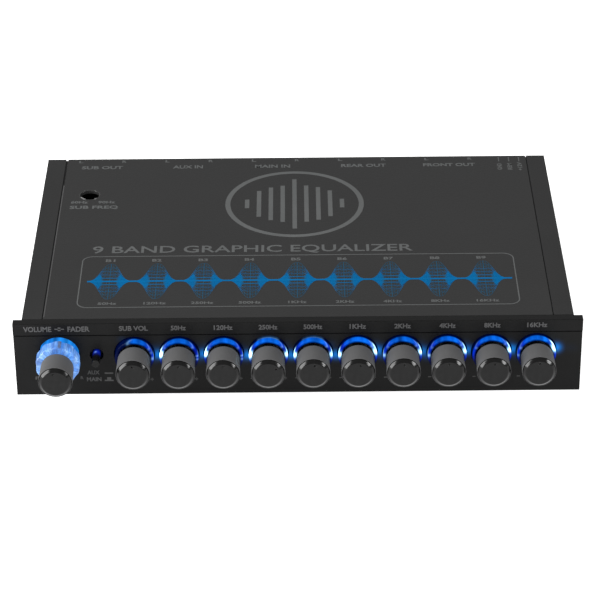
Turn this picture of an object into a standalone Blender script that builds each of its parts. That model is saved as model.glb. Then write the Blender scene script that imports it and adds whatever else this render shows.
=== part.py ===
"""Half-DIN in-dash graphic equalizer: nine band knobs, a sub level knob, a
volume knob with a fader ring behind it, a source button and a trimmer.

Frame: metres, +X to the right of someone facing the fascia, +Y from the fascia
to the rear sockets, +Z up. The case stands on z = 0, and the origin is under
the middle of the whole object. Depths below are counted from the fascia's main
face (0) rearwards, so the empty called fascia_datum carries every sub-part.
"""
import math

import bmesh
import bpy

MM = 0.001
GAP = 0.3 * MM

# Fascia: the half-DIN front, 178 mm wide and about an inch high.
FASCIA_WIDTH = 178.0 * MM
FASCIA_HEIGHT = 26.2 * MM
FASCIA_THICKNESS = 1.4 * MM
EDGE_DEPTH = 2.4 * MM
EDGE_WALL = 1.4 * MM
BAND_HEIGHT = 4.15 * MM
BAND_PROUD = 0.4 * MM
GROOVE_HEIGHT = 0.5 * MM
GROOVE_DEPTH = 0.4 * MM

# Folded sheet case.
CASE_WIDTH = 172.6 * MM
CASE_REAR = 111.3 * MM
SHEET = 1.2 * MM
FLANGE_WIDTH = 6.25 * MM
CASE_FRONT = EDGE_DEPTH + GAP

# Controls: ten equal knobs at one pitch, and the volume knob on their left.
AXIS_HEIGHT = 14.6 * MM
KNOB_PITCH = 14.0 * MM
SUB_KNOB_X = -51.3 * MM
VOLUME_X = -75.0 * MM
BAND_COUNT = 9
BAND_KNOB_XS = [SUB_KNOB_X + KNOB_PITCH * i for i in range(BAND_COUNT + 1)]
# How far each knob is turned clockwise from upright: sub level, then bands 1 to 9.
POINTER_DEGREES = [0, 4, 2, 50, 8, 12, 4, 0, 3, 0]
KNOB_REAR = -4.4 * MM
KNOB_FRONT = -12.2 * MM
KNOB_REAR_RADIUS = 5.15 * MM
KNOB_RADIUS = 5.3 * MM
RIM_WALL = 0.3 * MM
CAP_RADIUS = 4.7 * MM
CAP_FACE_RADIUS = 4.1 * MM
CAP_SEAT_DEPTH = 1.2 * MM
CAP_PROUD = 0.9 * MM
STEM_RADIUS = 2.0 * MM
STEM_END = 8.6 * MM
POINTER_OFFSET = 3.2 * MM

# Clear moulding behind the fascia, with one collar around each knob.
RING_RADIUS = 6.2 * MM
RING_BORE = 5.1 * MM
RING_FRONT = -2.5 * MM
GUIDE_THICKNESS = 1.2 * MM
GUIDE_FRONT = FASCIA_THICKNESS + 0.5 * MM
GUIDE_WIDTH = 166.0 * MM
GUIDE_BOTTOM = 4.0 * MM
GUIDE_TOP = 24.2 * MM

# Volume knob and fader ring on one centre.
FADER_RADIUS = 7.0 * MM
FADER_REAR = -2.9 * MM
FADER_FRONT = -7.0 * MM
FADER_FLUTES = 10
FLUTE_DEPTH = 0.28 * MM
SLEEVE_RADIUS = 3.0 * MM
SLEEVE_BORE = 2.3 * MM
VOLUME_REAR = -7.4 * MM
VOLUME_FRONT = -16.1 * MM

# Source button.
BUTTON_X = -63.2 * MM
BUTTON_RADIUS = 1.3 * MM
BUTTON_HOLE = 2.15 * MM
BUTTON_FRONT = -5.4 * MM
BUTTON_REAR = 6.0 * MM
BUTTON_TRAVEL = 1.6 * MM

# Boards and the parts on them.
POT_FRONT = 4.0 * MM
POT_REAR = 10.2 * MM
POT_BORE_END = 9.2 * MM
BOARD_THICKNESS = 1.6 * MM
BOARD_WIDTH = 165.0 * MM
CONTROL_BOARD_FRONT = POT_REAR + GAP
MAIN_BOARD_BOTTOM = 4.2 * MM
MAIN_BOARD_FRONT = CONTROL_BOARD_FRONT + BOARD_THICKNESS + GAP
MAIN_BOARD_REAR = 107.2 * MM
BOARD_TOP = MAIN_BOARD_BOTTOM + BOARD_THICKNESS + GAP

# Rear sockets.
PANEL_FRONT = CASE_REAR - SHEET
JACK_PITCH = 15.0 * MM
FIRST_JACK_X = -74.7 * MM
JACK_HEIGHT = 13.8 * MM
JACK_RADIUS = 4.15 * MM
JACK_BORE = 1.7 * MM
JACK_END = 121.0 * MM
TERMINAL_X = 73.8 * MM
TERMINAL_PITCH = 3.5 * MM
SCREW_XS = (-81.9 * MM, 81.9 * MM)
SCREW_ZS = (6.4 * MM, 21.0 * MM)

# Crossover trimmer under the hole in the cover.
TRIMMER_X = -70.2 * MM
TRIMMER_Y = 84.8 * MM
TRIMMER_HOLE = 3.4 * MM
ROTOR_TOP = 22.5 * MM

KNOB_SEGMENTS = 20
RING_SEGMENTS = 26
SMALL_SEGMENTS = 12

VOLUME_CAP_FRONT = VOLUME_FRONT - CAP_PROUD
DATUM_Y = -(VOLUME_CAP_FRONT + JACK_END) / 2


def clear_scene():
    for obj in list(bpy.data.objects):
        bpy.data.objects.remove(obj, do_unlink=True)


def make_material(name, colour, roughness, metallic=0.0):
    material = bpy.data.materials.new(name)
    material.use_nodes = True
    shader = material.node_tree.nodes["Principled BSDF"]
    shader.inputs["Base Color"].default_value = (*colour, 1.0)
    shader.inputs["Roughness"].default_value = roughness
    shader.inputs["Metallic"].default_value = metallic
    material.diffuse_color = (*colour, 1.0)
    return material


def add_object(name, bm, material, location=(0, 0, 0), turn=0.0):
    """Link a bmesh as a named object under the datum, shaded smooth."""
    bmesh.ops.recalc_face_normals(bm, faces=bm.faces)
    mesh = bpy.data.meshes.new(name)
    bm.to_mesh(mesh)
    bm.free()
    mesh.shade_smooth()
    mesh.set_sharp_from_angle(angle=math.radians(35))
    if material is not None:
        mesh.materials.append(material)
    obj = bpy.data.objects.new(name, mesh)
    bpy.context.scene.collection.objects.link(obj)
    obj.parent = datum
    obj.location = location
    obj.rotation_euler.y = turn
    return obj


def add_box(bm, x, y, z):
    """A closed block between three (low, high) pairs."""
    corners = [bm.verts.new((i, j, k)) for i in x for j in y for k in z]
    for a, b, c, d in ((0, 1, 3, 2), (4, 5, 7, 6), (0, 1, 5, 4), (2, 3, 7, 6), (0, 2, 6, 4), (1, 3, 7, 5)):
        bm.faces.new((corners[a], corners[b], corners[c], corners[d]))


def place(axis, along, radial):
    """A point at a distance along the axis, with its two radial coordinates."""
    u, v = radial
    if axis == "Y":
        return (u, along, v)
    return (u, v, along)


def add_turned(bm, profile, segments, axis="Y", centre=(0, 0), closed=False):
    """Turn (along, radius) points about an axis; radius 0 ends in a point.

    A closed profile makes a ring; an open one starts and ends on the axis.
    """
    rows = []
    for along, radius in profile:
        if radius == 0:
            rows.append([bm.verts.new(place(axis, along, centre))])
            continue
        row = []
        for i in range(segments):
            angle = 2 * math.pi * i / segments
            radial = (centre[0] + radius * math.sin(angle), centre[1] + radius * math.cos(angle))
            row.append(bm.verts.new(place(axis, along, radial)))
        rows.append(row)
    pairs = list(zip(rows, rows[1:]))
    if closed:
        pairs.append((rows[-1], rows[0]))
    for first, second in pairs:
        for i in range(segments):
            j = (i + 1) % segments
            corners = [first[i % len(first)], first[j % len(first)]]
            corners += [second[j % len(second)], second[i % len(second)]]
            unique = list(dict.fromkeys(corners))
            bm.faces.new(unique)


def add_cylinder(bm, low, high, radius, segments, axis="Y", centre=(0, 0)):
    add_turned(bm, [(low, 0), (low, radius), (high, radius), (high, 0)], segments, axis, centre)


def combine(target, operation, bm, name):
    """Join a hidden helper body to the target, or cut it away."""
    helper = add_object(name, bm, None, target.location, target.rotation_euler.y)
    helper.hide_render = True
    helper.display_type = "WIRE"
    modifier = target.modifiers.new(name, "BOOLEAN")
    modifier.operation = operation
    modifier.solver = "EXACT"
    modifier.object = helper


def blocks(boxes):
    bm = bmesh.new()
    for x, y, z in boxes:
        add_box(bm, x, y, z)
    return bm


def cylinders(centres, low, high, radius, segments, axis="Y"):
    bm = bmesh.new()
    for centre in centres:
        add_cylinder(bm, low, high, radius, segments, axis, centre)
    return bm


def build_tray():
    """Floor, side walls and top flanges, folded from one sheet."""
    half = CASE_WIDTH / 2
    inner = half - SHEET
    lip = half - FLANGE_WIDTH
    top = FASCIA_HEIGHT
    outline = [(-half, 0), (half, 0), (half, top), (lip, top), (lip, top - SHEET)]
    outline += [(inner, top - SHEET), (inner, SHEET)]
    outline += [(-x, z) for x, z in reversed(outline[3:])]
    outline.append((-half, top))
    bm = bmesh.new()
    front = [bm.verts.new((x, CASE_FRONT, z)) for x, z in outline]
    face = bm.faces.new(front)
    extruded = bmesh.ops.extrude_face_region(bm, geom=[face])
    moved = [item for item in extruded["geom"] if isinstance(item, bmesh.types.BMVert)]
    bmesh.ops.translate(bm, verts=moved, vec=(0, CASE_REAR - CASE_FRONT, 0))
    tray = add_object("chassis_tray", bm, paint)
    tab_y = (PANEL_FRONT - GAP - SHEET, PANEL_FRONT - GAP)
    tab_z = (3.2 * MM, 23.6 * MM)
    tabs = [((-inner - 0.5 * MM, -79.6 * MM), tab_y, tab_z), ((79.6 * MM, inner + 0.5 * MM), tab_y, tab_z)]
    combine(tray, "UNION", blocks(tabs), "screw_tabs")
    bosses = [(x, y) for x in (-76 * MM, 76 * MM) for y in (22 * MM, 93 * MM)]
    boss_top = MAIN_BOARD_BOTTOM - GAP
    posts = cylinders(bosses, SHEET / 2, boss_top, 3 * MM, SMALL_SEGMENTS, "Z")
    combine(tray, "UNION", posts, "board_bosses")
    holes = [(x, z) for x in SCREW_XS for z in SCREW_ZS]
    combine(tray, "DIFFERENCE", cylinders(holes, 100 * MM, CASE_REAR, 1.6 * MM, 12), "tab_holes")


def build_cover():
    """Flat lid between the flanges, stepped on its left, with the trimmer's hole."""
    edge = CASE_WIDTH / 2 - FLANGE_WIDTH - GAP
    step = 0.4 * MM
    step_y = 92.3 * MM
    outline = [(-edge, CASE_FRONT), (edge, CASE_FRONT), (edge, CASE_REAR)]
    outline += [(-edge + step, CASE_REAR), (-edge + step, step_y), (-edge, step_y)]
    bm = bmesh.new()
    face = bm.faces.new([bm.verts.new((x, y, FASCIA_HEIGHT - SHEET)) for x, y in outline])
    extruded = bmesh.ops.extrude_face_region(bm, geom=[face])
    moved = [item for item in extruded["geom"] if isinstance(item, bmesh.types.BMVert)]
    bmesh.ops.translate(bm, verts=moved, vec=(0, 0, SHEET))
    cover = add_object("top_cover", bm, cover_paint)
    hole = cylinders([(TRIMMER_X, TRIMMER_Y)], 20 * MM, 32 * MM, TRIMMER_HOLE, RING_SEGMENTS, "Z")
    combine(cover, "DIFFERENCE", hole, "trimmer_hole")


def jack_centres():
    return [(FIRST_JACK_X + JACK_PITCH * i, JACK_HEIGHT) for i in range(10)]


def build_rear_panel():
    half = CASE_WIDTH / 2 - SHEET - GAP
    bottom = SHEET + GAP
    top = FASCIA_HEIGHT - SHEET - GAP
    sheet = blocks([((-half, half), (PANEL_FRONT, CASE_REAR), (bottom, top))])
    panel = add_object("rear_panel", sheet, paint)
    low = PANEL_FRONT - 2 * MM
    high = CASE_REAR + 2 * MM
    sockets = cylinders(jack_centres(), low, high, JACK_RADIUS + GAP, 16)
    combine(panel, "DIFFERENCE", sockets, "jack_holes")
    screws = cylinders([(x, z) for x in SCREW_XS for z in SCREW_ZS], low, high, 1.6 * MM, 12)
    combine(panel, "DIFFERENCE", screws, "screw_holes")
    window = terminal_box(GAP)
    combine(panel, "DIFFERENCE", blocks([(window[0], (low, high), window[1])]), "terminal_window")


def terminal_box(margin):
    """The terminal block's (x, z) ranges, grown by a margin."""
    half = 1.5 * TERMINAL_PITCH + margin
    return (TERMINAL_X - half, TERMINAL_X + half), (9.6 * MM - margin, 18.0 * MM + margin)


def build_fascia():
    """Front plate with a deeper edge, its proud label band, the groove and two rear lugs."""
    half = FASCIA_WIDTH / 2
    top = FASCIA_HEIGHT
    band = top - BAND_HEIGHT
    groove = band - GROOVE_HEIGHT
    outline = [(EDGE_DEPTH, 0), (0, 0), (0, groove), (GROOVE_DEPTH, groove), (GROOVE_DEPTH, band)]
    outline += [(-BAND_PROUD, band), (-BAND_PROUD, top), (EDGE_DEPTH, top)]
    bm = bmesh.new()
    face = bm.faces.new([bm.verts.new((-half, y, z)) for y, z in outline])
    extruded = bmesh.ops.extrude_face_region(bm, geom=[face])
    moved = [item for item in extruded["geom"] if isinstance(item, bmesh.types.BMVert)]
    bmesh.ops.translate(bm, verts=moved, vec=(FASCIA_WIDTH, 0, 0))
    fascia = add_object("front_fascia", bm, fascia_plastic)
    inner = half - EDGE_WALL
    pocket = ((-inner, inner), (FASCIA_THICKNESS, EDGE_DEPTH + 1 * MM), (EDGE_WALL, top - EDGE_WALL))
    combine(fascia, "DIFFERENCE", blocks([pocket]), "rear_pocket")
    lug_x = (83.4 * MM, 84.8 * MM)
    lug_y = (FASCIA_THICKNESS - 0.5 * MM, 9.0 * MM)
    lug_z = (6 * MM, 20 * MM)
    lugs = [((-lug_x[1], -lug_x[0]), lug_y, lug_z), (lug_x, lug_y, lug_z)]
    combine(fascia, "UNION", blocks(lugs), "lugs")
    centres = [(x, AXIS_HEIGHT) for x in [VOLUME_X] + BAND_KNOB_XS]
    holes = cylinders(centres, -5 * MM, 5 * MM, RING_RADIUS + GAP, RING_SEGMENTS)
    combine(fascia, "DIFFERENCE", holes, "ring_holes")
    button = cylinders([(BUTTON_X, AXIS_HEIGHT)], -5 * MM, 5 * MM, BUTTON_HOLE, SMALL_SEGMENTS)
    combine(fascia, "DIFFERENCE", button, "button_hole")


def build_light_guide():
    """Plate behind the fascia and the eleven collars that show through it."""
    half = GUIDE_WIDTH / 2
    depth = (GUIDE_FRONT, GUIDE_FRONT + GUIDE_THICKNESS)
    plate = blocks([((-half, half), depth, (GUIDE_BOTTOM, GUIDE_TOP))])
    guide = add_object("light_guide", plate, clear_plastic)
    centres = [(x, AXIS_HEIGHT) for x in [VOLUME_X] + BAND_KNOB_XS]
    middle = GUIDE_FRONT + GUIDE_THICKNESS / 2
    collars = cylinders(centres, RING_FRONT, middle, RING_RADIUS, RING_SEGMENTS)
    combine(guide, "UNION", collars, "collars")
    bores = cylinders(centres, -6 * MM, 6 * MM, RING_BORE, RING_SEGMENTS)
    combine(guide, "DIFFERENCE", bores, "collar_bores")
    button = cylinders([(BUTTON_X, AXIS_HEIGHT)], -6 * MM, 6 * MM, BUTTON_HOLE + GAP, SMALL_SEGMENTS)
    combine(guide, "DIFFERENCE", button, "button_clearance")


def build_boards():
    half = BOARD_WIDTH / 2
    control_y = (CONTROL_BOARD_FRONT, CONTROL_BOARD_FRONT + BOARD_THICKNESS)
    add_object("control_board", blocks([((-half, half), control_y, (2.5 * MM, 24.4 * MM))]), board)
    main_z = (MAIN_BOARD_BOTTOM, MAIN_BOARD_BOTTOM + BOARD_THICKNESS)
    main_y = (MAIN_BOARD_FRONT, MAIN_BOARD_REAR)
    add_object("main_board", blocks([((-half, half), main_y, main_z)]), board)


def knob_profile(rear, front, bore_radius, bore_end, stem=None):
    """A tapered knob: a rim around the cap's seat in front, a bore or a stem behind."""
    rim = KNOB_RADIUS - RIM_WALL
    seat = front + CAP_SEAT_DEPTH
    profile = [(seat, 0), (seat, rim), (front, rim), (front, KNOB_RADIUS), (rear, KNOB_REAR_RADIUS)]
    if stem is not None:
        return profile + [(rear, STEM_RADIUS), (stem, STEM_RADIUS), (stem, 0)]
    return profile + [(rear, bore_radius), (bore_end, bore_radius), (bore_end, 0)]


def build_cap(name, front, location, turn):
    """Dished-edge insert in the knob's front, with its pointer dimple."""
    back = front + CAP_SEAT_DEPTH - GAP
    face = front - CAP_PROUD
    shoulder = face + (CAP_RADIUS - CAP_FACE_RADIUS)
    profile = [(face, 0), (face, CAP_FACE_RADIUS), (shoulder, CAP_RADIUS), (back, CAP_RADIUS), (back, 0)]
    bm = bmesh.new()
    add_turned(bm, profile, KNOB_SEGMENTS)
    cap = add_object(name, bm, cap_gloss, location, turn)
    dimple = cylinders([(0, POINTER_OFFSET)], face - 1 * MM, face + 0.35 * MM, 0.35 * MM, 8)
    combine(cap, "DIFFERENCE", dimple, name + "_dimple")


def build_pot(name, x, width, bushing_radius, bore_radius):
    """Rotary potentiometer: square case, round bushing and a blind bore."""
    body_z = (AXIS_HEIGHT - 5.6 * MM, AXIS_HEIGHT + 5.2 * MM)
    half = width / 2
    local_z = tuple(z - AXIS_HEIGHT for z in body_z)
    case = blocks([((-half, half), (POT_FRONT, POT_REAR), local_z)])
    pot = add_object(name, case, pot_case, (x, 0, AXIS_HEIGHT))
    bushing = cylinders([(0, 0)], 2.0 * MM, POT_FRONT + 1 * MM, bushing_radius, SMALL_SEGMENTS)
    combine(pot, "UNION", bushing, name + "_bushing")
    bore = cylinders([(0, 0)], 0, POT_BORE_END, bore_radius, SMALL_SEGMENTS)
    combine(pot, "DIFFERENCE", bore, name + "_bore")


def build_knobs():
    names = ["sub"] + ["band_%d" % i for i in range(1, BAND_COUNT + 1)]
    for name, x, degrees in zip(names, BAND_KNOB_XS, POINTER_DEGREES):
        location = (x, 0, AXIS_HEIGHT)
        turn = math.radians(degrees)
        bm = bmesh.new()
        add_turned(bm, knob_profile(KNOB_REAR, KNOB_FRONT, 0, 0, STEM_END), KNOB_SEGMENTS)
        add_object(name + "_knob", bm, knob_rubber, location, turn)
        build_cap(name + "_cap", KNOB_FRONT, location, turn)
        build_pot(name + "_pot", x, 9.6 * MM, 3.4 * MM, STEM_RADIUS + GAP)


def build_volume_control():
    """Volume knob on a shaft inside the fader's sleeve, both in one pot."""
    location = (VOLUME_X, 0, AXIS_HEIGHT)
    bore_end = VOLUME_FRONT + 3.2 * MM
    bm = bmesh.new()
    profile = knob_profile(VOLUME_REAR, VOLUME_FRONT, STEM_RADIUS + GAP, bore_end)
    add_turned(bm, profile, KNOB_SEGMENTS)
    add_object("volume_knob", bm, knob_rubber, location)
    build_cap("volume_cap", VOLUME_FRONT, location, 0.0)
    shaft = cylinders([(0, 0)], bore_end + GAP, STEM_END, STEM_RADIUS, SMALL_SEGMENTS)
    add_object("volume_shaft", shaft, shaft_steel, location)
    sleeve = bmesh.new()
    front = FADER_FRONT + 0.4 * MM
    rear = STEM_END - 1.5 * MM
    profile = [(front, SLEEVE_BORE), (front, SLEEVE_RADIUS), (rear, SLEEVE_RADIUS), (rear, SLEEVE_BORE)]
    add_turned(sleeve, profile, SMALL_SEGMENTS, closed=True)
    add_object("fader_sleeve", sleeve, shaft_steel, location)
    build_fader_ring(location)
    build_pot("volume_fader_pot", VOLUME_X, 11.4 * MM, 4.2 * MM, SLEEVE_RADIUS + GAP)


def build_fader_ring(location):
    """Clear ring with shallow grip flutes around its edge and a stepped bore."""
    bm = bmesh.new()
    count = FADER_FLUTES * 4
    bore = SLEEVE_RADIUS + GAP
    rows = []
    corners = ((FADER_FRONT, True), (FADER_FRONT, False), (FADER_REAR, False), (FADER_REAR, True))
    for along, is_bore in corners:
        row = []
        for i in range(count):
            angle = 2 * math.pi * i / count
            dip = FLUTE_DEPTH * (1 - math.cos(angle * FADER_FLUTES)) / 2
            radius = bore if is_bore else FADER_RADIUS - dip
            row.append(bm.verts.new((radius * math.sin(angle), along, radius * math.cos(angle))))
        rows.append(row)
    for first, second in zip(rows, rows[1:] + rows[:1]):
        for i in range(count):
            j = (i + 1) % count
            bm.faces.new((first[i], first[j], second[j], second[i]))
    add_object("fader_ring", bm, clear_plastic, location)


def build_button():
    location = (BUTTON_X, 0, AXIS_HEIGHT)
    shoulder = BUTTON_FRONT + 0.6 * MM
    profile = [(BUTTON_FRONT, 0), (BUTTON_FRONT, BUTTON_RADIUS * 0.6), (shoulder, BUTTON_RADIUS)]
    profile += [(BUTTON_REAR, BUTTON_RADIUS), (BUTTON_REAR, 0)]
    bm = bmesh.new()
    add_turned(bm, profile, SMALL_SEGMENTS)
    add_object("source_button", bm, button_plastic, location)
    half = 3.6 * MM
    case = blocks([((-half, half), (POT_FRONT, POT_REAR), (-half, half))])
    switch = add_object("source_switch", case, pot_case, location)
    well_end = BUTTON_REAR + BUTTON_TRAVEL + 2 * GAP
    well = cylinders([(0, 0)], 0, well_end, BUTTON_RADIUS + GAP, SMALL_SEGMENTS)
    combine(switch, "DIFFERENCE", well, "plunger_well")


def build_trimmer():
    """Top-adjust crossover trimmer: a case on the board and a slotted rotor."""
    location = (TRIMMER_X, TRIMMER_Y, 0)
    case_top = 16.6 * MM
    half = 4.8 * MM
    case = blocks([((-half, half), (-half, half), (BOARD_TOP, case_top))])
    body = add_object("trimmer_case", case, pot_case, location)
    well = cylinders([(0, 0)], case_top - 5 * MM, case_top + 2 * MM, 1.8 * MM, SMALL_SEGMENTS, "Z")
    combine(body, "DIFFERENCE", well, "rotor_well")
    stem_low = case_top - 4.5 * MM
    head_low = case_top + GAP
    profile = [(stem_low, 0), (stem_low, 1.5 * MM), (head_low, 1.5 * MM), (head_low, 2.9 * MM)]
    profile += [(ROTOR_TOP, 2.9 * MM), (ROTOR_TOP, 0)]
    bm = bmesh.new()
    add_turned(bm, profile, SMALL_SEGMENTS, "Z")
    rotor = add_object("trimmer_rotor", bm, trimmer_plastic, location)
    slot = blocks([((-0.4 * MM, 0.4 * MM), (-2.2 * MM, 2.2 * MM), (ROTOR_TOP - 1 * MM, ROTOR_TOP + 1 * MM))])
    combine(rotor, "DIFFERENCE", slot, "driver_slot")


def build_rear_sockets():
    """Five two-way phono sockets and the three-way screw terminal."""
    for pair in range(5):
        left = FIRST_JACK_X + 2 * pair * JACK_PITCH
        middle = left + JACK_PITCH / 2
        half = 11.9 * MM
        name = "line_socket_%d" % (pair + 1)
        back = PANEL_FRONT - GAP
        case = blocks([((middle - half, middle + half), (97.6 * MM, back), (BOARD_TOP, 21.2 * MM))])
        socket = add_object(name, case, socket_plastic)
        centres = [(left, JACK_HEIGHT), (left + JACK_PITCH, JACK_HEIGHT)]
        barrels = cylinders(centres, back - 1 * MM, JACK_END, JACK_RADIUS, 16)
        combine(socket, "UNION", barrels, name + "_barrels")
        pins = cylinders(centres, JACK_END - 9 * MM, JACK_END + 2 * MM, JACK_BORE, 12)
        combine(socket, "DIFFERENCE", pins, name + "_pin_holes")
    x_range, z_range = terminal_box(0)
    rear = CASE_REAR + 3.0 * MM
    terminal_y = (101.0 * MM, rear)
    terminal = add_object("power_terminal", blocks([(x_range, terminal_y, z_range)]), terminal_plastic)
    ways = [TERMINAL_X + TERMINAL_PITCH * i for i in (-1, 0, 1)]
    entry_half = 1.2 * MM
    entry_z = (10.6 * MM, 13.4 * MM)
    entries = [((x - entry_half, x + entry_half), (rear - 5 * MM, rear + 1 * MM), entry_z) for x in ways]
    combine(terminal, "DIFFERENCE", blocks(entries), "wire_entries")


def build_screws():
    """Pan-head screws that hold the rear panel to the tray's tabs."""
    for i, (x, z) in enumerate([(x, z) for x in SCREW_XS for z in SCREW_ZS]):
        head_low = CASE_REAR + GAP
        tip = CASE_REAR - 3.6 * MM
        profile = [(tip, 0), (tip, 1.3 * MM), (head_low, 1.3 * MM), (head_low, 2.6 * MM)]
        face = head_low + 1.6 * MM
        profile += [(head_low + 0.9 * MM, 2.6 * MM), (face, 1.8 * MM), (face, 0)]
        bm = bmesh.new()
        add_turned(bm, profile, SMALL_SEGMENTS)
        screw = add_object("panel_screw_%d" % (i + 1), bm, screw_steel, (x, 0, z))
        arm = 0.35 * MM
        reach = 1.3 * MM
        cross = bmesh.new()
        add_box(cross, (-arm, arm), (face - 0.8 * MM, face + 1 * MM), (-reach, reach))
        combine(screw, "DIFFERENCE", cross, "driver_slot_%d" % (i + 1))


def build_power_parts():
    """Supply parts on the main board: filter capacitor, toroid choke, regulator."""
    bm = bmesh.new()
    add_cylinder(bm, BOARD_TOP, 22.0 * MM, 5.0 * MM, RING_SEGMENTS, "Z", (58 * MM, 84 * MM))
    add_object("filter_capacitor", bm, capacitor_sleeve)
    bm = bmesh.new()
    ring_top = BOARD_TOP + 8 * MM
    ring = [(BOARD_TOP, 4.0 * MM), (BOARD_TOP, 9.0 * MM), (ring_top, 9.0 * MM), (ring_top, 4.0 * MM)]
    add_turned(bm, ring, RING_SEGMENTS, "Z", (30 * MM, 83 * MM), closed=True)
    add_object("converter_choke", bm, copper)
    regulator = [((71 * MM, 81 * MM), (79 * MM, 83.5 * MM), (BOARD_TOP + 2 * MM, 22 * MM))]
    add_object("supply_regulator", blocks(regulator), pot_case)


clear_scene()
datum = bpy.data.objects.new("fascia_datum", None)
datum.location = (0, DATUM_Y, 0)
bpy.context.scene.collection.objects.link(datum)

paint = make_material("black_paint", (0.022, 0.022, 0.023), 0.55)
cover_paint = make_material("charcoal_paint", (0.045, 0.045, 0.046), 0.5)
fascia_plastic = make_material("fascia_plastic", (0.016, 0.016, 0.017), 0.45)
clear_plastic = make_material("clear_plastic", (0.02, 0.22, 0.95), 0.25)
board = make_material("board_laminate", (0.01, 0.10, 0.035), 0.5)
knob_rubber = make_material("knob_grey", (0.13, 0.13, 0.135), 0.6)
cap_gloss = make_material("cap_gloss_black", (0.03, 0.03, 0.032), 0.2)
pot_case = make_material("pot_case", (0.05, 0.05, 0.05), 0.5)
shaft_steel = make_material("shaft_steel", (0.55, 0.55, 0.56), 0.3, 1.0)
screw_steel = make_material("screw_black_steel", (0.06, 0.06, 0.06), 0.4, 0.8)
button_plastic = make_material("button_plastic", (0.015, 0.03, 0.12), 0.3)
trimmer_plastic = make_material("trimmer_white", (0.7, 0.7, 0.68), 0.5)
socket_plastic = make_material("socket_black", (0.02, 0.02, 0.02), 0.45)
terminal_plastic = make_material("terminal_green", (0.02, 0.17, 0.06), 0.45)
capacitor_sleeve = make_material("capacitor_sleeve", (0.02, 0.03, 0.10), 0.35)
copper = make_material("copper_winding", (0.55, 0.25, 0.12), 0.35, 1.0)

build_tray()
build_cover()
build_rear_panel()
build_fascia()
build_light_guide()
build_boards()
build_knobs()
build_volume_control()
build_button()
build_trimmer()
build_rear_sockets()
build_screws()
build_power_parts()
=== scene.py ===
"""Looks for the in-dash graphic equalizer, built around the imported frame.

Lengths below are millimetres in the object's own measure: x to the right, y from the
fascia's main face rearwards, z up from the floor. place() turns them into the frame.
"""

import math

import bmesh
import bpy
from mathutils import Matrix, Vector, noise


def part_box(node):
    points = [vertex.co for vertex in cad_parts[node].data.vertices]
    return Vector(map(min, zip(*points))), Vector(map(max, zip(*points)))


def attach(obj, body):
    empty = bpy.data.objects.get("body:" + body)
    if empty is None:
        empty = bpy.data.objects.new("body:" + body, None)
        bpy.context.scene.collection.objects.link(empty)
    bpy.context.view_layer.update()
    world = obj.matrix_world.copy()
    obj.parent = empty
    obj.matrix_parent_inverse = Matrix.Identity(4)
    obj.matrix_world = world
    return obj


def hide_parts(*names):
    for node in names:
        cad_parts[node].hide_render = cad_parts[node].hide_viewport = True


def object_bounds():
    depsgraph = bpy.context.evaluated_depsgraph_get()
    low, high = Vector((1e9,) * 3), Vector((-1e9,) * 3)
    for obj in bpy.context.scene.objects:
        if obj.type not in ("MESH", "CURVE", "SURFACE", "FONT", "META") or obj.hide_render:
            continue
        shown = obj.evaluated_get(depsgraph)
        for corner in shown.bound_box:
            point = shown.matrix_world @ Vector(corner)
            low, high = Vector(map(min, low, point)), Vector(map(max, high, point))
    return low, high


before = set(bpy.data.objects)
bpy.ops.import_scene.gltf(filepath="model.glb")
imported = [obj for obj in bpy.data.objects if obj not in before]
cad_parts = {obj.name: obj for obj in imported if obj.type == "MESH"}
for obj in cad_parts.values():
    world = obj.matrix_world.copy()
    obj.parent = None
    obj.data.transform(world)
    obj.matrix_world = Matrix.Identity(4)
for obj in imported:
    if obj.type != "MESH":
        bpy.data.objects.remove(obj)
cad_low, cad_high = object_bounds()

MM = 0.001
BAND_PROUD = 0.4
FACE_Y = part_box("front_fascia")[0].y + BAND_PROUD * MM


def in_mm(node):
    """A CAD node's (low, high) corners in the object's own measure."""
    low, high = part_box(node)
    shift = Vector((0, FACE_Y, 0))
    return (low - shift) / MM, (high - shift) / MM


fascia_high = in_mm("front_fascia")[1]
cover_low, cover_high = in_mm("top_cover")
sub_low, sub_high = in_mm("sub_knob")
last_low, last_high = in_mm("band_9_knob")
volume_low, volume_high = in_mm("volume_knob")
fader_low, fader_high = in_mm("fader_ring")
button_low, button_high = in_mm("source_button")
guide_low, guide_high = in_mm("light_guide")

TOP = cover_high.z
AXIS_Z = (sub_low.z + sub_high.z) / 2
BAND_COUNT = 9
SUB_X = (sub_low.x + sub_high.x) / 2
PITCH = ((last_low.x + last_high.x) / 2 - SUB_X) / BAND_COUNT
KNOB_NAMES = ["sub"] + ["band_%d" % i for i in range(1, BAND_COUNT + 1)]
KNOB_XS = [SUB_X + PITCH * i for i in range(BAND_COUNT + 1)]
# How far each knob's pointer stands clockwise from upright, as in the CAD.
POINTER_DEGREES = [0, 4, 2, 50, 8, 12, 4, 0, 3, 0]
VOLUME_X = (volume_low.x + volume_high.x) / 2
BUTTON_X = (button_low.x + button_high.x) / 2
LABELS = ["50Hz", "120Hz", "250Hz", "500Hz", "1KHz", "2KHz", "4KHz", "8KHz", "16KHz"]


# ---------------------------------------------------------------- materials

def new_material(name):
    material = bpy.data.materials.new(name)
    material.use_nodes = True
    return material, material.node_tree, material.node_tree.nodes["Principled BSDF"]


def add_node(tree, kind, links=None, **values):
    """A shader node with socket values, and links given as socket: output."""
    node = tree.nodes.new(kind)
    for key, value in values.items():
        if hasattr(node, key) and key not in node.inputs:
            setattr(node, key, value)
        else:
            node.inputs[key.replace("_", " ")].default_value = value
    for socket, output in (links or {}).items():
        tree.links.new(output, node.inputs[socket])
    return node


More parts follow.
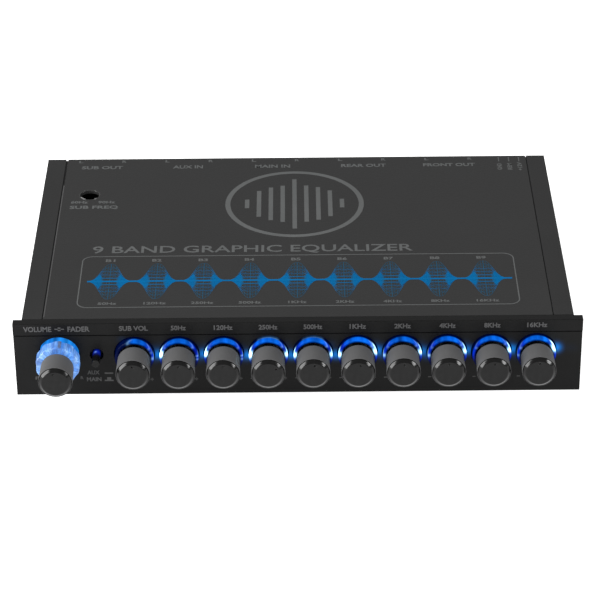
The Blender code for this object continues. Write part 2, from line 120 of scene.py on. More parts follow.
def ramp(tree, factor, low, high, start=0.3, end=0.7):
    node = tree.nodes.new("ShaderNodeValToRGB")
    node.color_ramp.elements[0].position = start
    node.color_ramp.elements[1].position = end
    node.color_ramp.elements[0].color = (*low, 1)
    node.color_ramp.elements[1].color = (*high, 1)
    tree.links.new(factor, node.inputs["Fac"])
    return node.outputs["Color"]


def grained(name, dark, light, rough, grain, depth, specular=0.3, metallic=0.0):
    """A surface with fine grain in its bump and slow variation in colour and gloss."""
    patch = 60
    spread = 0.08
    material, tree, shader = new_material(name)
    place_node = add_node(tree, "ShaderNodeTexCoord").outputs["Object"]
    slow = add_node(tree, "ShaderNodeTexNoise", {"Vector": place_node}, Scale=patch, Detail=4)
    fine = add_node(tree, "ShaderNodeTexNoise", {"Vector": place_node}, Scale=grain, Detail=3)
    noises = {0: slow.outputs["Fac"], 1: fine.outputs["Fac"]}
    mixed = add_node(tree, "ShaderNodeMath", noises, operation="ADD")
    half = add_node(tree, "ShaderNodeMath", {0: mixed.outputs[0]}, operation="MULTIPLY")
    half.inputs[1].default_value = 0.5
    tree.links.new(ramp(tree, half.outputs[0], dark, light), shader.inputs["Base Color"])
    gloss = add_node(tree, "ShaderNodeMapRange", {"Value": half.outputs[0]})
    gloss.inputs["From Min"].default_value = 0.3
    gloss.inputs["From Max"].default_value = 0.7
    gloss.inputs["To Min"].default_value = rough - spread
    gloss.inputs["To Max"].default_value = rough + spread
    tree.links.new(gloss.outputs["Result"], shader.inputs["Roughness"])
    bump = add_node(tree, "ShaderNodeBump", {"Height": fine.outputs["Fac"]}, Strength=0.6, Distance=depth)
    tree.links.new(bump.outputs["Normal"], shader.inputs["Normal"])
    shader.inputs["Specular IOR Level"].default_value = specular
    shader.inputs["Metallic"].default_value = metallic
    return material


def lit_plastic(name, base, rough, streaks, specular):
    """Clear moulding lit from within: its light is the mesh's glow colour, broken by streaks."""
    material, tree, shader = new_material(name)
    glow = add_node(tree, "ShaderNodeAttribute", attribute_name="glow")
    where = add_node(tree, "ShaderNodeTexCoord").outputs["Object"]
    stretch = add_node(tree, "ShaderNodeMapping", {"Vector": where}, Scale=streaks)
    wave = add_node(tree, "ShaderNodeTexNoise", {"Vector": stretch.outputs[0]}, Scale=1.0, Detail=4)
    shade = ramp(tree, wave.outputs["Fac"], (0.45, 0.5, 0.6), (1.35, 1.3, 1.2), 0.35, 0.65)
    factors = {0: glow.outputs["Color"], 1: shade}
    lit = add_node(tree, "ShaderNodeVectorMath", factors, operation="MULTIPLY")
    tree.links.new(lit.outputs["Vector"], shader.inputs["Emission Color"])
    shader.inputs["Emission Strength"].default_value = 1.0
    body = ramp(tree, wave.outputs["Fac"], tuple(c * 0.6 for c in base), base)
    tree.links.new(body, shader.inputs["Base Color"])
    shader.inputs["Roughness"].default_value = rough
    shader.inputs["Specular IOR Level"].default_value = specular
    bump = add_node(tree, "ShaderNodeBump", {"Height": wave.outputs["Fac"]}, Strength=0.3, Distance=0.0001)
    tree.links.new(bump.outputs["Normal"], shader.inputs["Normal"])
    return material


def add_spill(material):
    """Light spilled on a surface beside the lamps, from the mesh's glow colour."""
    tree = material.node_tree
    spill = add_node(tree, "ShaderNodeAttribute", attribute_name="glow")
    shader = tree.nodes["Principled BSDF"]
    tree.links.new(spill.outputs["Color"], shader.inputs["Emission Color"])
    shader.inputs["Emission Strength"].default_value = 1.0


def fade_ink(material, faint):
    """Let an ink fade towards a fainter colour where its mesh's glow colour is dark."""
    tree = material.node_tree
    base = tree.nodes["Principled BSDF"].inputs["Base Color"]
    full = base.links[0].from_socket
    share = add_node(tree, "ShaderNodeAttribute", attribute_name="glow")
    blend = add_node(tree, "ShaderNodeMixRGB", {"Fac": share.outputs["Fac"], "Color2": full})
    blend.inputs["Color1"].default_value = (*faint, 1)
    tree.links.new(blend.outputs["Color"], base)


def turned_gloss(name, dark, light, rough, specular):
    """Polished moulding with faint concentric polishing marks around its own axis."""
    material, tree, shader = new_material(name)
    where = add_node(tree, "ShaderNodeTexCoord").outputs["Object"]
    rings = add_node(tree, "ShaderNodeTexWave", {"Vector": where}, wave_type="RINGS", rings_direction="Y",
                     Scale=900, Distortion=1.5, Detail=2)
    dust = add_node(tree, "ShaderNodeTexNoise", {"Vector": where}, Scale=700, Detail=5)
    tree.links.new(ramp(tree, dust.outputs["Fac"], dark, light), shader.inputs["Base Color"])
    gloss = add_node(tree, "ShaderNodeMapRange", {"Value": dust.outputs["Fac"]})
    gloss.inputs["To Min"].default_value = rough * 0.8
    gloss.inputs["To Max"].default_value = rough * 1.2
    tree.links.new(gloss.outputs["Result"], shader.inputs["Roughness"])
    shader.inputs["Specular IOR Level"].default_value = specular
    height = {"Height": rings.outputs["Fac"]}
    bump = add_node(tree, "ShaderNodeBump", height, Strength=0.05, Distance=0.00002)
    tree.links.new(bump.outputs["Normal"], shader.inputs["Normal"])
    return material


def grey(level):
    return (level, level, level)


CASE = grained("case_powder_coat", grey(0.011), grey(0.018), 0.55, 1500, 0.00006, 0.2)
# Lighter paint for the cover's left edge: a painted highlight where the left softbox catches it.
EDGE_HIGHLIGHT = grained("edge_highlight_paint", grey(0.03), grey(0.05), 0.35, 1500, 0.00003, 0.4)
BURR = grained("rolled_edge", grey(0.015), grey(0.03), 0.2, 2500, 0.00001, 0.6)
COVER = grained("cover_powder_coat", grey(0.013), grey(0.0195), 0.5, 1500, 0.00006, 0.2)
FASCIA = grained("fascia_moulding", grey(0.004), grey(0.007), 0.42, 2400, 0.00004, 0.09)
KNOB = grained("knob_soft_touch", (0.064, 0.064, 0.065), (0.08, 0.08, 0.081), 0.65, 2600, 0.00002, 0.15)
CAP = turned_gloss("cap_polished", grey(0.0015), grey(0.004), 0.15, 0.2)
COLLAR = lit_plastic("collar_clear", (0.0, 0.002, 0.02), 0.25, (500, 60, 500), 0.04)
FADER = lit_plastic("fader_clear", (0.08, 0.13, 0.22), 0.15, (420, 260, 420), 0.4)
BUTTON = lit_plastic("button_smoked", grey(0.006), 0.25, (300, 300, 300), 0.15)
INK = grained("print_grey_ink", grey(0.05), grey(0.07), 0.6, 2500, 0.00001, 0.1)
TOP_INK = grained("print_white_ink", (0.066, 0.069, 0.069), (0.088, 0.091, 0.091), 0.6, 2500, 0.00001, 0.2)
BLUE_INK = grained("print_blue_ink", (0.0, 0.085, 0.22), (0.0, 0.115, 0.30), 0.7, 2500, 0.00001, 0.04)
STEEL = grained("bright_steel", grey(0.5), grey(0.62), 0.28, 3000, 0.00002, 0.5, 1.0)
BLACK_STEEL = grained("black_oxide_steel", grey(0.03), grey(0.06), 0.4, 3000, 0.00002, 0.5, 0.9)
SOCKET = grained("socket_moulding", grey(0.012), grey(0.02), 0.5, 1800, 0.00004)
NICKEL = grained("nickel_shell", (0.62, 0.60, 0.56), (0.75, 0.73, 0.69), 0.22, 2800, 0.00001, 0.5, 1.0)
WHITE = grained("insulator_white", (0.62, 0.62, 0.6), (0.72, 0.72, 0.7), 0.4, 1500, 0.00002)
RED = grained("insulator_red", (0.42, 0.015, 0.012), (0.52, 0.025, 0.02), 0.4, 1500, 0.00002)
GREEN = grained("terminal_green", (0.01, 0.13, 0.045), (0.02, 0.17, 0.06), 0.45, 1500, 0.00003)
LAMINATE = grained("board_laminate", (0.005, 0.06, 0.02), (0.012, 0.10, 0.035), 0.4, 900, 0.00003)
POT = grained("pot_moulding", (0.02, 0.025, 0.03), (0.05, 0.055, 0.06), 0.5, 1500, 0.00003)
TRIMMER = grained("trimmer_white", (0.66, 0.66, 0.63), (0.78, 0.78, 0.75), 0.45, 1500, 0.00002)
SLEEVE = grained("capacitor_sleeve", (0.01, 0.015, 0.05), (0.02, 0.03, 0.09), 0.3, 900, 0.00002)
COPPER = grained("copper_winding", (0.42, 0.17, 0.06), (0.62, 0.28, 0.12), 0.35, 700, 0.0002, 0.5, 1.0)
add_spill(FASCIA)
fade_ink(BLUE_INK, (0.014, 0.062, 0.11))


# ---------------------------------------------------------------- helpers

def mix(first, second, share):
    share = max(0.0, min(1.0, share))
    return first * (1 - share) + second * share


def rise(value, low, high):
    """Smooth step from 0 at low to 1 at high."""
    share = max(0.0, min(1.0, (value - low) / (high - low)))
    return share * share * (3 - 2 * share)


def place(x, y, z):
    return Vector((x * MM, FACE_Y + y * MM, z * MM))


def add_piece(name, bm, materials, body, replaced=(), centre=(0, 0, 0), turn=0.0, sharp=32):
    """Link a millimetre bmesh made around centre, and let it ride on its body."""
    bmesh.ops.recalc_face_normals(bm, faces=bm.faces)
    mesh = bpy.data.meshes.new(name)
    bmesh.ops.scale(bm, vec=(MM, MM, MM), verts=bm.verts)
    bm.to_mesh(mesh)
    bm.free()
    mesh.shade_smooth()
    mesh.set_sharp_from_angle(angle=math.radians(sharp))
    for material in materials:
        mesh.materials.append(material)
    obj = bpy.data.objects.new(name, mesh)
    bpy.context.scene.collection.objects.link(obj)
    obj.matrix_world = Matrix.Translation(place(*centre)) @ Matrix.Rotation(turn, 4, "Y")
    if body:
        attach(obj, body)
    if replaced:
        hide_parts(*replaced)
    return obj


def weighted(obj):
    modifier = obj.modifiers.new("normals", "WEIGHTED_NORMAL")
    modifier.keep_sharp = True
    return obj


def bevel(obj, width, segments=3, angle=40):
    modifier = obj.modifiers.new("edges", "BEVEL")
    modifier.width = width * MM
    modifier.segments = segments
    modifier.limit_method = "ANGLE"
    modifier.angle_limit = math.radians(angle)
    modifier.use_clamp_overlap = True
    return weighted(obj)


def bake(obj):
    """Replace an object's mesh by its evaluated one and drop the modifiers."""
    graph = bpy.context.evaluated_depsgraph_get()
    mesh = bpy.data.meshes.new_from_object(obj.evaluated_get(graph))
    obj.modifiers.clear()
    obj.data = mesh
    return obj


def cut(obj, bm, centre=(0, 0, 0)):
    """Cut a millimetre bmesh out of an object."""
    tool = add_piece("cutter", bm, [], None, centre=centre)
    modifier = obj.modifiers.new("cut", "BOOLEAN")
    modifier.operation = "DIFFERENCE"
    modifier.solver = "EXACT"
    modifier.object = tool
    bpy.context.view_layer.update()
    bake(obj)
    bpy.data.objects.remove(tool)
    return obj


def fillet(points, radii, steps=5, closed=False):
    """Round the corners of an outline; radii is one number or one for each point."""
    rounded = []
    count = len(points)
    for i, point in enumerate(points):
        radius = radii[i] if isinstance(radii, (list, tuple)) else radii
        end = not closed and i in (0, count - 1)
        if end or radius == 0:
            rounded.append(tuple(point))
            continue
        corner = Vector(point)
        back = Vector(points[i - 1]) - corner
        ahead = Vector(points[(i + 1) % count]) - corner
        reach = min(radius, back.length / 2.01, ahead.length / 2.01)
        first = corner + back.normalized() * reach
        last = corner + ahead.normalized() * reach
        for step in range(steps + 1):
            t = step / steps
            rounded.append(tuple(first * (1 - t) ** 2 + corner * 2 * t * (1 - t) + last * t * t))
    return rounded


def lathe(bm, profile, segments, centre=(0, 0), closed=False, warp=None, slot=0):
    """Turn (y, radius) points about the Y axis; warp(angle, y, radius) may change a radius."""
    rows = []
    for y, radius in profile:
        if radius < 1e-6:
            rows.append([bm.verts.new((centre[0], y, centre[1]))])
            continue
        row = []
        for i in range(segments):
            angle = 2 * math.pi * i / segments
            r = warp(angle, y, radius) if warp else radius
            row.append(bm.verts.new((centre[0] + r * math.sin(angle), y, centre[1] + r * math.cos(angle))))
        rows.append(row)
    pairs = list(zip(rows, rows[1:]))
    if closed:
        pairs.append((rows[-1], rows[0]))
    for first, second in pairs:
        for i in range(segments):
            j = (i + 1) % segments
            ring = [first[i % len(first)], first[j % len(first)]]
            ring += [second[j % len(second)], second[i % len(second)]]
            face = bm.faces.new(list(dict.fromkeys(ring)))
            face.material_index = slot


def rod(bm, low, high, radius, segments=64, centre=(0, 0)):
    lathe(bm, [(low, 0), (low, radius), (high, radius), (high, 0)], segments, centre)


def block(bm, x, y, z, slot=0):
    corners = [bm.verts.new((i, j, k)) for i in x for j in y for k in z]
    for a, b, c, d in ((0, 1, 3, 2), (4, 5, 7, 6), (0, 1, 5, 4), (2, 3, 7, 6), (0, 2, 6, 4), (1, 3, 7, 5)):
        face = bm.faces.new((corners[a], corners[b], corners[c], corners[d]))
        face.material_index = slot


def prism(bm, outline, direction):
    """Extrude a flat outline of 3-D points along a vector."""
    face = bm.faces.new([bm.verts.new(p) for p in outline])
    made = bmesh.ops.extrude_face_region(bm, geom=[face])
    moved = [item for item in made["geom"] if isinstance(item, bmesh.types.BMVert)]
    bmesh.ops.translate(bm, verts=moved, vec=direction)


# ---------------------------------------------------------------- printing

INK_THICKNESS = 0.03


def on_top(x, y, lift):
    return (x, y, TOP + lift)


def on_face(x, z, lift):
    return (x, -lift, z)


def on_band(x, z, lift):
    return (x, -BAND_PROUD - lift, z)


def ribbon(bm, points, width, surface, closed=False):
    """A thin closed strip of ink along a line."""
    count = len(points)
    rows = []
    for i, point in enumerate(points):
        before = points[i - 1] if (i or closed) else point
        after = points[(i + 1) % count] if (i < count - 1 or closed) else point
        along = (Vector(after) - Vector(before)).normalized()
        side = Vector((-along.y, along.x)) * width / 2
        left = Vector(point) + side
        right = Vector(point) - side
        rows.append([bm.verts.new(surface(*p, lift)) for p, lift in
                     ((left, 0.0), (left, INK_THICKNESS), (right, INK_THICKNESS), (right, 0.0))])
    spans = list(zip(rows, rows[1:]))
    if closed:
        spans.append((rows[-1], rows[0]))
    for first, second in spans:
        for i in range(4):
            j = (i + 1) % 4
            bm.faces.new((first[i], first[j], second[j], second[i]))
    if not closed:
        bm.faces.new(rows[0])
        bm.faces.new(rows[-1])


def letters(bm, text, centre, width, height, surface, weight=0.03, turn=0.0):
    """Print a word with its capitals' height and its whole width given."""
    curve = bpy.data.curves.new("word", "FONT")
    curve.body = text
    curve.resolution_u = 3
    curve.offset = weight
    curve.extrude = 0.5
    obj = bpy.data.objects.new("word", curve)
    bpy.context.scene.collection.objects.link(obj)
    graph = bpy.context.evaluated_depsgraph_get()
    mesh = bpy.data.meshes.new_from_object(obj.evaluated_get(graph))
    bpy.data.objects.remove(obj)
    xs = [v.co.x for v in mesh.vertices]
    ys = [v.co.y for v in mesh.vertices]
    x_mid = (min(xs) + max(xs)) / 2
    y_mid = (min(ys) + max(ys)) / 2
    x_scale = width / (max(xs) - min(xs))
    y_scale = height / (max(ys) - min(ys))
    cos, sin = math.cos(turn), math.sin(turn)
    for vert in mesh.vertices:
        u = (vert.co.x - x_mid) * x_scale
        v = (vert.co.y - y_mid) * y_scale
        lift = INK_THICKNESS if vert.co.z > 0 else 0.0
        vert.co = surface(centre[0] + u * cos - v * sin, centre[1] + u * sin + v * cos, lift)
    fresh = bmesh.new()
    fresh.from_mesh(mesh)
    bmesh.ops.remove_doubles(fresh, verts=fresh.verts, dist=1e-4)
    fresh.to_mesh(mesh)
    fresh.free()
    bm.from_mesh(mesh)
    bpy.data.meshes.remove(mesh)


def arc_points(centre, radius, start, end, steps):
    points = []
    for i in range(steps + 1):
        angle = start + (end - start) * i / steps
        points.append((centre[0] + radius * math.cos(angle), centre[1] + radius * math.sin(angle)))
    return points


def print_titles():
    bm = bmesh.new()
    letters(bm, "9 BAND GRAPHIC EQUALIZER", (-14.5, 46.2), 104.6, 5.4, on_top, 0.012)
    letters(bm, "SUB FREQ", (-68.3, 75.9), 16.3, 2.6, on_top, 0.03)
    letters(bm, "60Hz", (-73.4, 79.7), 5.7, 1.7, on_top)
    letters(bm, "90Hz", (-64.2, 79.6), 5.7, 1.7, on_top)
    sockets = (("SUB OUT", -67.1, 14.2), ("AUX IN", -37.5, 10.4), ("MAIN IN", -8.2, 12.2),
               ("REAR OUT", 23.3, 15.6), ("FRONT OUT", 52.9, 18.0))
    for word, x, width in sockets:
        letters(bm, word, (x, 104.9), width, 2.3, on_top)
    jack_low, jack_high = in_mm("line_socket_1")
    first = (jack_low.x + jack_high.x) / 2 - 7.5
    for i in range(10):
        letters(bm, "LR"[i % 2], (first + 15 * i, 109.3), 1.5, 1.7, on_top)
    for i, word in enumerate(("GND", "REM", "+12V")):
        letters(bm, word, (70.3 + 3.5 * i, 103.2), 1.2 * len(word) + 1.2, 1.6, on_top, 0.02, math.pi / 2)
        ribbon(bm, [(70.3 + 3.5 * i, 107.0), (70.3 + 3.5 * i, 110.3)], 0.35, on_top)
    return bm


def print_emblem(bm):
    """Plain ring with nine level bars inside it."""
    centre = (-0.7, 77.5)
    radius = 22.5
    ribbon(bm, arc_points(centre, radius, 0, 2 * math.pi, 120)[:-1], 1.7, on_top, True)
    for i in range(-4, 5):
        x = centre[0] + i * 4.0
        reach = 14.0 * math.exp(-(i / 3.4) ** 2) + 1.5 + 2.0 * math.cos(i * 2.4)
        ribbon(bm, [(x, centre[1] - reach), (x, centre[1] + reach)], 1.5, on_top)


def print_frame(bm):
    """Rounded frame around the response curves, with the band names."""
    left, right, low, high = -69.6, 70.1, 9.5, 42.1
    radius = 3.2
    corners = ((right - radius, high - radius, 0), (left + radius, high - radius, 1),
               (left + radius, low + radius, 2), (right - radius, low + radius, 3))
    outline = []
    for x, y, quarter in corners:
        start = quarter * math.pi / 2
        outline += arc_points((x, y), radius, start, start + math.pi / 2, 8)
    ribbon(bm, outline, 0.38, on_top, True)
    for i in range(BAND_COUNT):
        x = LOBE_FIRST + LOBE_PITCH * i
        letters(bm, "B%d" % (i + 1), (x - 0.4, 39.4), 3.1, 1.7, on_top)
        letters(bm, LABELS[i], (x, 11.9), 1.25 * len(LABELS[i]) + 0.9, 1.55, on_top)


LOBE_FIRST = -60.15
LOBE_PITCH = 15.03
LOBE_Y = 25.9
LOBE_HALF = 11.2
LOBE_WIDTH = 3.75
LOBE_POWER = 2.45
LOBE_LEVELS = 6


def bell(offset):
    """Half-height of a response curve at an offset from its centre."""
    return LOBE_HALF * math.exp(-abs(offset / LOBE_WIDTH) ** LOBE_POWER)


def bell_reach(height):
    """Offset at which a full response curve has come down to a height."""
    return LOBE_WIDTH * math.log(LOBE_HALF / height) ** (1 / LOBE_POWER)


def print_lobes():
    """Nested response curves, hoops and a centre line, each laid a touch higher than the last."""
    bm = bmesh.new()
    lift = 0.0

    def lay(points, width):
        nonlocal lift
        lift += 0.0004
        base = lift
        ribbon(bm, points, width, lambda x, y, up: on_top(x, y, up + base if up else 0.0))

    for i in range(BAND_COUNT):
        middle = LOBE_FIRST + LOBE_PITCH * i
        lift = 0.0
        for level in range(1, LOBE_LEVELS + 1):
            share = level / LOBE_LEVELS
            reach = bell_reach(0.25 / share)
            xs = [reach * (j / 30 - 1) for j in range(61)]
            for side in (-1, 1):
                lay([(middle + x, LOBE_Y + side * share * bell(x)) for x in xs], 0.11)
        for j in range(-2, 3):
            x = 0.85 * j
            lay([(middle + x, LOBE_Y - bell(x)), (middle + x, LOBE_Y + bell(x))], 0.22 if j == 0 else 0.09)
        for j in range(-4, 5):
            y = 2.1 * j
            reach = bell_reach(max(2.0, abs(y)) * 1.05)
            lay([(middle - reach, LOBE_Y + y), (middle + reach, LOBE_Y + y)], 0.24 if abs(j) < 2 else 0.1)
        for side in (-1, 1):
            for j in range(15):
                x = 2.3 + 0.26 * j
                reach = 0.75 * bell(x) * min(1.0, 0.25 + (x - 2.3) / 1.5) + 0.3
                lay([(middle + side * x, LOBE_Y - reach), (middle + side * x, LOBE_Y + reach)], 0.22)
    lay([(-67.3, LOBE_Y), (68.8, LOBE_Y)], 0.85)
    return bm


def lobe_strength(point):
    """Full ink beside each response curve's middle and along the centre line."""
    at = (point.x - LOBE_FIRST) / LOBE_PITCH
    offset = abs(at - round(at)) * LOBE_PITCH
    line = 1 - rise(abs(point.y - LOBE_Y), 0.45, 0.6)
    strength = max(rise(offset, 2.0, 3.2), line)
    return Vector((strength, strength, strength))


def print_fascia():
    bm = bmesh.new()
    letters(bm, "VOLUME", (-81.3, 24.3), 8.8, 1.9, on_band)
    letters(bm, "FADER", (-68.4, 24.3), 6.9, 1.9, on_band)
    ribbon(bm, [(-75.9, 24.3), (-72.9, 24.3)], 0.35, on_band)
    ribbon(bm, [(-74.9, 24.3), (-74.0, 24.3)], 1.3, on_band)
    letters(bm, "SUB VOL", (KNOB_XS[0], 24.4), 9.0, 1.8, on_band)
    for x, word in zip(KNOB_XS[1:], LABELS):
        letters(bm, word, (x, 24.4), 1.18 * len(word) + 0.4 * word.count("K"), 1.75, on_band)
    for x in KNOB_XS:
        ribbon(bm, [(x - 5.7, 5.4), (x - 4.7, 5.4)], 0.3, on_face)
        ribbon(bm, [(x + 4.7, 5.4), (x + 5.7, 5.4)], 0.3, on_face)
        ribbon(bm, [(x + 5.2, 4.9), (x + 5.2, 5.9)], 0.3, on_face)
    letters(bm, "AUX", (BUTTON_X - 1.3, 8.1), 3.9, 1.5, on_face)
    ribbon(bm, [(BUTTON_X + 2.2, 7.8), (BUTTON_X + 4.9, 7.8)], 0.5, on_face)
    letters(bm, "MAIN", (BUTTON_X - 1.2, 5.6), 4.6, 1.5, on_face)
    ribbon(bm, [(BUTTON_X + 2.1, 5.1), (BUTTON_X + 4.9, 5.1)], 0.5, on_face)
    ribbon(bm, [(BUTTON_X + 2.9, 5.8), (BUTTON_X + 4.2, 5.8)], 1.0, on_face)
    letters(bm, "F", (VOLUME_X - 7.4, 6.2), 0.9, 1.1, on_face, 0.02)
    letters(bm, "R", (VOLUME_X + 6.8, 6.2), 0.9, 1.1, on_face, 0.02)
    return bm


# ---------------------------------------------------------------- case and fascia

def build_fascia():
    """Front moulding: softened edges, proud label band, groove and collar holes."""
    half = fascia_high.x
    plate = 1.4
    back = cover_low.y - 0.3
    band = TOP - 4.15
    groove = band - 0.5
    points = [(back, 0), (0, 0), (0, groove), (0.4, groove), (0.4, band)]
    points += [(-BAND_PROUD, band), (-BAND_PROUD, TOP), (back, TOP)]
    radii = [0.1, 0.12, 0.1, 0.12, 0.12, 0.12, 0.35, 0.1]
    outline = fillet(points, radii, 5, True)
    bm = bmesh.new()
    prism(bm, [(-half, y, z) for y, z in outline], (2 * half, 0, 0))
    fascia = add_piece("front_fascia_moulding", bm, [FASCIA], "case", ["front_fascia"])
    pocket = bmesh.new()
    block(pocket, (-half + plate, half - plate), (plate, back + 1), (plate, TOP - plate))
    cut(fascia, pocket)
    holes = bmesh.new()
    for x in [VOLUME_X] + KNOB_XS:
        rod(holes, -5, 5, 6.45, 96, (x, AXIS_Z))
    cut(fascia, holes)
    hole = bmesh.new()
    rod(hole, -5, 5, 2.15, 64, (BUTTON_X, AXIS_Z))
    cut(fascia, hole)
    bevel(fascia, 0.12, 3, 50)
    bake(fascia)
    divide_face(fascia.data)
    spots = spill_spots()

    def spill(p):
        if p.y > 1.0:
            return Vector((0, 0, 0))
        total = Vector((0, 0, 0))
        for x, z, strength in spots:
            away = math.hypot(p.x - x, p.z - z)
            total = total + SPILL_BLUE * strength ** 2 * math.exp(-(away / SPILL_SPREAD) ** 2)
        return total

    paint_glow(fascia, spill)
    weighted(fascia)
    lugs = bmesh.new()
    for side in ((-84.8, -83.4), (83.4, 84.8)):
        block(lugs, side, (plate, 9.0), (6, 20))
    bevel(add_piece("fascia_lugs", lugs, [FASCIA], "case"), 0.2)


def divide_face(mesh):
    """Cut the fascia's main face into small cells, so that it can carry the spilled light."""
    step = 0.6
    grid = bmesh.new()
    grid.from_mesh(mesh)
    cuts = [(Vector((i * step * MM, 0, 0)), Vector((1, 0, 0))) for i in range(-140, 141)]
    cuts += [(Vector((0, 0, i * step * MM)), Vector((0, 0, 1))) for i in range(7, 36)]
    for at, normal in cuts:
        face = [f for f in grid.faces if f.normal.y < -0.99 and abs(f.calc_center_median().y) < 0.1 * MM]
        edges = {edge for f in face for edge in f.edges}
        verts = {vert for f in face for vert in f.verts}
        parts = face + list(edges) + list(verts)
        bmesh.ops.bisect_plane(grid, geom=parts, plane_co=at, plane_no=normal, dist=1e-6)
    grid.to_mesh(mesh)
    grid.free()


def spill_spots():
    """Where the lamps' light reaches the fascia: (x, z, brightness)."""
    spots = []
    for name, centre in zip(KNOB_NAMES, KNOB_XS):
        for at, strength, _ in COLLARS[name][2]:
            angle = math.radians(at + math.copysign(SPILL_TURN, at))
            x = centre + SPILL_RADIUS * math.sin(angle)
            spots.append((x, AXIS_Z + SPILL_RADIUS * math.cos(angle), strength))
    return spots


def build_cover():
    """Lid with its stepped left edge, softened rim and the trimmer's hole."""
    edge = cover_high.x
    step = 0.4
    step_y = 92.3
    points = [(-edge, cover_low.y), (edge, cover_low.y), (edge, cover_high.y)]
    points += [(-edge + step, cover_high.y), (-edge + step, step_y), (-edge, step_y)]
    outline = fillet(points, [0.3, 0.3, 0.5, 0.5, 0.1, 0.2], 4, True)
    bm = bmesh.new()
    prism(bm, [(x, y, cover_low.z) for x, y in outline], (0, 0, TOP - cover_low.z))
    cover = add_piece("top_cover_sheet", bm, [COVER], "case", ["top_cover"])
    hole = bmesh.new()
    rod(hole, -5, 5, 3.4, 80)
    bmesh.ops.rotate(hole, verts=hole.verts, matrix=Matrix.Rotation(math.pi / 2, 3, "X"))
    low, high = in_mm("trimmer_rotor")
    spot = ((low.x + high.x) / 2, (low.y + high.y) / 2, TOP)
    cut(cover, hole, spot)
    # Slot 1 is that lighter paint, put on the cover's left-facing faces as a painted highlight along the
    # left edge.
    cover.data.materials.append(EDGE_HIGHLIGHT)
    cover.data.materials.append(SOCKET)
    for face in cover.data.polygons:
        if abs(face.normal.z) < 0.5 and (face.center - place(*spot)).xy.length < 3.5 * MM:
            face.material_index = 2
        elif face.normal.x < -0.9:
            face.material_index = 1
    bevel(cover, 0.25, 3, 50)
    burr = bmesh.new()
    ring = [(0.07 * math.cos(a), 3.43 + 0.1 * math.sin(a)) for a in (math.pi * k / 6 for k in range(12))]
    lathe(burr, ring, 96, closed=True)
    bmesh.ops.rotate(burr, verts=burr.verts, matrix=Matrix.Rotation(math.pi / 2, 3, "X"))
    add_piece("cover_hole_burr", burr, [BURR], "case", centre=spot)
    glint = bmesh.new()
    for start, end, width in ((205, 246, 0.55), (300, 318, 0.3)):
        ribbon(glint, arc_points(spot[:2], 3.3, math.radians(start), math.radians(end), 12), width, on_top)
    add_piece("cover_hole_glint", glint, [STEEL], "case")
    strips = bmesh.new()
    depth = (24.3, 25.75)
    block(strips, (-edge - 0.28, -edge - 0.02), (cover_low.y + 0.5, step_y), depth)
    block(strips, (-edge - 0.28, -edge + step - 0.02), (step_y + 0.1, cover_high.y - 0.15), depth)
    block(strips, (edge + 0.02, edge + 0.28), (cover_low.y + 0.5, cover_high.y - 0.15), depth)
    seams = add_piece("seam_strips", strips, [CASE], "case")
    bevel(seams, 0.05, 2)
    # A lighter strip along the top of the cover's left edge: a painted highlight.
    highlight_line = bmesh.new()
    ribbon(highlight_line, [(-edge + 0.3, cover_low.y + 1.0), (-edge + 0.3, step_y - 0.5)], 0.34, on_top)
    add_piece("cover_edge_painted_highlight", highlight_line, [EDGE_HIGHLIGHT], "case")


def soften_cad(name, material, width=0.0, angle=50):
    """Keep a CAD node's shape, weld its split corners, round its edges, give it a finish."""
    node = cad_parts[name]
    node.data.materials.clear()
    node.data.materials.append(material)
    if width:
        weld = node.modifiers.new("weld", "WELD")
        weld.merge_threshold = 0.000001
        bevel(node, width, 3, angle)


def finish_cad_nodes():
    soften_cad("chassis_tray", CASE, 0.5)
    soften_cad("rear_panel", CASE, 0.15)
    for i in range(1, 5):
        soften_cad("panel_screw_%d" % i, BLACK_STEEL, 0.12, 30)
    soften_cad("main_board", LAMINATE)
    soften_cad("control_board", LAMINATE)
    soften_cad("filter_capacitor", SLEEVE, 0.3)
    soften_cad("converter_choke", COPPER, 0.8)
    soften_cad("supply_regulator", POT, 0.3)
    soften_cad("trimmer_case", POT, 0.2)
    soften_cad("trimmer_rotor", TRIMMER, 0.12)
    soften_cad("source_switch", POT, 0.2)
    soften_cad("volume_fader_pot", POT, 0.2)
    soften_cad("volume_shaft", STEEL)
    soften_cad("fader_sleeve", STEEL)
    for name in KNOB_NAMES:
        soften_cad(name + "_pot", POT, 0.2)


# ---------------------------------------------------------------- lit parts

BLUE_TOP = Vector((0.002, 0.12, 0.70))
BLUE_SIDE = Vector((0.0, 0.022, 0.55))
NAVY = Vector((0.0, 0.001, 0.018))
AZURE = Vector((0.012, 0.24, 0.82))
LAMP_BLUE = Vector((0.0, 0.30, 1.0))
LAMP_WHITE = Vector((0.45, 0.82, 1.0))
SPILL_BLUE = Vector((0.0, 0.19, 0.70))
